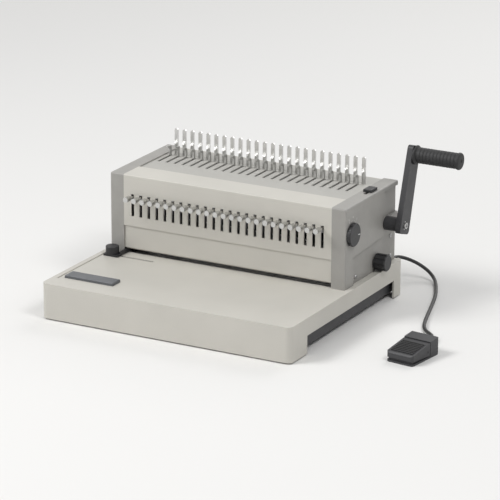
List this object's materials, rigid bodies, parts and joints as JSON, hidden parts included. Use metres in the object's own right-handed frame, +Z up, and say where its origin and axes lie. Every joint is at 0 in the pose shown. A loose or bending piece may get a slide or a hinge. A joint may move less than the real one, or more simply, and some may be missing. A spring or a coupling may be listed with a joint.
{
  "type": "comb binding machine",
  "caption": "Electric desk machine that punches rectangular holes and opens plastic combs, with a lever, pull pins, a depth dial and a foot pedal.",
  "frame": {"origin": "on the table, at the centre of the outline of the machine and its pedal", "axes": "+X to the operator's right along the row of punches, +Y to the back, +Z up"},
  "size_m": [0.5924, 0.4531, 0.2461],
  "materials": {
    "base_paint": "light warm grey fine-textured paint",
    "head_paint": "light warm grey satin paint",
    "cover_plastic": "moulded grey plastic",
    "pan_steel": "dark grey coated steel",
    "tool_steel": "ground tool steel",
    "bright_steel": "bright zinc plate",
    "pin_steel": "nickel-plated pins",
    "bush_brass": "sintered bronze",
    "motor_metal": "grey motor paint",
    "board_resin": "green circuit board",
    "dark_plastic": "black moulded plastic",
    "rocker_plastic": "black glossy rocker",
    "bar_plastic": "mid grey plastic",
    "lever_metal": "dark grey paint",
    "grip_plastic": "black ringed grip",
    "pedal_plastic": "dark grey moulded plastic",
    "foot_rubber": "black rubber",
    "cord_rubber": "black flexible cord"
  },
  "bodies": {
    "base": {"base_shell": "base_paint", "base_pan": "pan_steel", "rubber_feet": "foot_rubber", "die_plate": "tool_steel", "guide_block": "head_paint", "side_plates": "pan_steel", "shaft_bushes": "bush_brass", "gear_motor": "motor_metal", "left_end_cover": "cover_plastic", "right_end_cover": "cover_plastic", "front_cover": "head_paint", "top_plate": "head_paint", "comb_tines": "bright_steel", "rear_cover": "head_paint", "power_inlet": "dark_plastic", "control_board": "board_resin", "pedal_base": "pedal_plastic", "pedal_cord": "cord_rubber", "cord_gland": "cord_rubber"},
    "ram": {"ram_bar": "tool_steel", "punches": "tool_steel"},
    "punch_drive": {"punch_shaft": "tool_steel"},
    "motor_drive": {"drive_shaft": "tool_steel", "jam_knob": "dark_plastic"},
    "lever": {"opener_shaft": "tool_steel", "lever_arm": "lever_metal", "lever_grip": "grip_plastic"},
    "carriage": {"hook_carriage": "bright_steel"},
    "dial": {"depth_dial": "dark_plastic"},
    "stop": {"paper_stop": "bright_steel"},
    "side_guide": {"edge_guide": "dark_plastic"},
    "hand_switch": {"hand_bar": "bar_plastic"},
    "limiter": {"opening_limiter": "dark_plastic"},
    "treadle": {"pedal_treadle": "pedal_plastic"},
    "tray": {"chip_tray": "dark_plastic"},
    "rocker": {"power_rocker": "rocker_plastic"},
    "pull_pin_01_body": {"pull_pin_01": "pin_steel"},
    "pull_pin_02_body": {"pull_pin_02": "pin_steel"},
    "pull_pin_03_body": {"pull_pin_03": "pin_steel"},
    "pull_pin_04_body": {"pull_pin_04": "pin_steel"},
    "pull_pin_05_body": {"pull_pin_05": "pin_steel"},
    "pull_pin_06_body": {"pull_pin_06": "pin_steel"},
    "pull_pin_07_body": {"pull_pin_07": "pin_steel"},
    "pull_pin_08_body": {"pull_pin_08": "pin_steel"},
    "pull_pin_09_body": {"pull_pin_09": "pin_steel"},
    "pull_pin_10_body": {"pull_pin_10": "pin_steel"},
    "pull_pin_11_body": {"pull_pin_11": "pin_steel"},
    "pull_pin_12_body": {"pull_pin_12": "pin_steel"},
    "pull_pin_13_body": {"pull_pin_13": "pin_steel"},
    "pull_pin_14_body": {"pull_pin_14": "pin_steel"},
    "pull_pin_15_body": {"pull_pin_15": "pin_steel"},
    "pull_pin_16_body": {"pull_pin_16": "pin_steel"},
    "pull_pin_17_body": {"pull_pin_17": "pin_steel"},
    "pull_pin_18_body": {"pull_pin_18": "pin_steel"},
    "pull_pin_19_body": {"pull_pin_19": "pin_steel"},
    "pull_pin_20_body": {"pull_pin_20": "pin_steel"},
    "pull_pin_21_body": {"pull_pin_21": "pin_steel"},
    "pull_pin_22_body": {"pull_pin_22": "pin_steel"},
    "pull_pin_23_body": {"pull_pin_23": "pin_steel"},
    "pull_pin_24_body": {"pull_pin_24": "pin_steel"}
  },
  "joints": [
    {"name": "ram_slide", "type": "slide", "parent": "base", "child": "ram", "axis": [0, 0, -1], "range_m": [0, 0.026]},
    {"name": "punch_shaft_turn", "type": "hinge", "parent": "base", "child": "punch_drive", "pos_m": [-0.0832, 0.06357, 0.098], "axis": [1, 0, 0], "range_deg": [0, 62.5]},
    {"name": "drive_shaft_turn", "type": "hinge", "parent": "base", "child": "motor_drive", "pos_m": [0.0168, 0.11377, 0.071], "axis": [1, 0, 0], "range_deg": [-80, 0]},
    {"name": "lever_swing", "type": "hinge", "parent": "base", "child": "lever", "pos_m": [0.0168, 0.13957, 0.126], "axis": [1, 0, 0], "range_deg": [0, 90]},
    {"name": "carriage_slide", "type": "slide", "parent": "base", "child": "carriage", "axis": [0, -1, 0], "range_m": [0, 0.0331]},
    {"name": "depth_dial_turn", "type": "hinge", "parent": "base", "child": "dial", "pos_m": [0.1238, 0.02357, 0.1396], "axis": [1, 0, 0], "range_deg": [0, 120.6]},
    {"name": "paper_stop_slide", "type": "slide", "parent": "base", "child": "stop", "axis": [0, -1, 0], "range_m": [0, 0.004]},
    {"name": "edge_guide_slide", "type": "slide", "parent": "base", "child": "side_guide", "axis": [1, 0, 0], "range_m": [0, 0.07]},
    {"name": "hand_bar_press", "type": "slide", "parent": "base", "child": "hand_switch", "axis": [0, 0, -1], "range_m": [0, 0.003], "stiffness_N_per_m": 600, "springref_m": -0.002},
    {"name": "opening_limiter_slide", "type": "slide", "parent": "base", "child": "limiter", "axis": [0, 1, 0], "range_m": [-0.016, 0.018]},
    {"name": "treadle_press", "type": "hinge", "parent": "base", "child": "treadle", "pos_m": [0.27004, -0.06388, 0.011], "axis": [0.9919, -0.1271, 0], "range_deg": [0, 5], "stiffness_Nm_per_rad": 1, "springref_deg": -5.73},
    {"name": "chip_tray_slide", "type": "slide", "parent": "base", "child": "tray", "axis": [-1, 0, 0], "range_m": [0, 0.3]},
    {"name": "power_rocker_tilt", "type": "hinge", "parent": "base", "child": "rocker", "pos_m": [-0.1812, 0.17807, 0.086], "axis": [1, 0, 0], "range_deg": [0, 14]},
    {"name": "pull_pin_01_pull", "type": "slide", "parent": "ram", "child": "pull_pin_01_body", "axis": [0, -1, 0], "range_m": [0, 0.006]},
    {"name": "pull_pin_02_pull", "type": "slide", "parent": "ram", "child": "pull_pin_02_body", "axis": [0, -1, 0], "range_m": [0, 0.006]},
    {"name": "pull_pin_03_pull", "type": "slide", "parent": "ram", "child": "pull_pin_03_body", "axis": [0, -1, 0], "range_m": [0, 0.006]},
    {"name": "pull_pin_04_pull", "type": "slide", "parent": "ram", "child": "pull_pin_04_body", "axis": [0, -1, 0], "range_m": [0, 0.006]},
    {"name": "pull_pin_05_pull", "type": "slide", "parent": "ram", "child": "pull_pin_05_body", "axis": [0, -1, 0], "range_m": [0, 0.006]},
    {"name": "pull_pin_06_pull", "type": "slide", "parent": "ram", "child": "pull_pin_06_body", "axis": [0, -1, 0], "range_m": [0, 0.006]},
    {"name": "pull_pin_07_pull", "type": "slide", "parent": "ram", "child": "pull_pin_07_body", "axis": [0, -1, 0], "range_m": [0, 0.006]},
    {"name": "pull_pin_08_pull", "type": "slide", "parent": "ram", "child": "pull_pin_08_body", "axis": [0, -1, 0], "range_m": [0, 0.006]},
    {"name": "pull_pin_09_pull", "type": "slide", "parent": "ram", "child": "pull_pin_09_body", "axis": [0, -1, 0], "range_m": [0, 0.006]},
    {"name": "pull_pin_10_pull", "type": "slide", "parent": "ram", "child": "pull_pin_10_body", "axis": [0, -1, 0], "range_m": [0, 0.006]},
    {"name": "pull_pin_11_pull", "type": "slide", "parent": "ram", "child": "pull_pin_11_body", "axis": [0, -1, 0], "range_m": [0, 0.006]},
    {"name": "pull_pin_12_pull", "type": "slide", "parent": "ram", "child": "pull_pin_12_body", "axis": [0, -1, 0], "range_m": [0, 0.006]},
    {"name": "pull_pin_13_pull", "type": "slide", "parent": "ram", "child": "pull_pin_13_body", "axis": [0, -1, 0], "range_m": [0, 0.006]},
    {"name": "pull_pin_14_pull", "type": "slide", "parent": "ram", "child": "pull_pin_14_body", "axis": [0, -1, 0], "range_m": [0, 0.006]},
    {"name": "pull_pin_15_pull", "type": "slide", "parent": "ram", "child": "pull_pin_15_body", "axis": [0, -1, 0], "range_m": [0, 0.006]},
    {"name": "pull_pin_16_pull", "type": "slide", "parent": "ram", "child": "pull_pin_16_body", "axis": [0, -1, 0], "range_m": [0, 0.006]},
    {"name": "pull_pin_17_pull", "type": "slide", "parent": "ram", "child": "pull_pin_17_body", "axis": [0, -1, 0], "range_m": [0, 0.006]},
    {"name": "pull_pin_18_pull", "type": "slide", "parent": "ram", "child": "pull_pin_18_body", "axis": [0, -1, 0], "range_m": [0, 0.006]},
    {"name": "pull_pin_19_pull", "type": "slide", "parent": "ram", "child": "pull_pin_19_body", "axis": [0, -1, 0], "range_m": [0, 0.006]},
    {"name": "pull_pin_20_pull", "type": "slide", "parent": "ram", "child": "pull_pin_20_body", "axis": [0, -1, 0], "range_m": [0, 0.006]},
    {"name": "pull_pin_21_pull", "type": "slide", "parent": "ram", "child": "pull_pin_21_body", "axis": [0, -1, 0], "range_m": [0, 0.006]},
    {"name": "pull_pin_22_pull", "type": "slide", "parent": "ram", "child": "pull_pin_22_body", "axis": [0, -1, 0], "range_m": [0, 0.006]},
    {"name": "pull_pin_23_pull", "type": "slide", "parent": "ram", "child": "pull_pin_23_body", "axis": [0, -1, 0], "range_m": [0, 0.006]},
    {"name": "pull_pin_24_pull", "type": "slide", "parent": "ram", "child": "pull_pin_24_body", "axis": [0, -1, 0], "range_m": [0, 0.006]}
  ],
  "couplings": [
    {"joint": "punch_shaft_turn", "follows": "ram_slide", "rad_per_m": 41.667},
    {"joint": "drive_shaft_turn", "follows": "ram_slide", "rad_per_m": -53.333},
    {"joint": "carriage_slide", "follows": "lever_swing", "m_per_rad": 0.021},
    {"joint": "depth_dial_turn", "follows": "paper_stop_slide", "rad_per_m": 523.6}
  ]
}
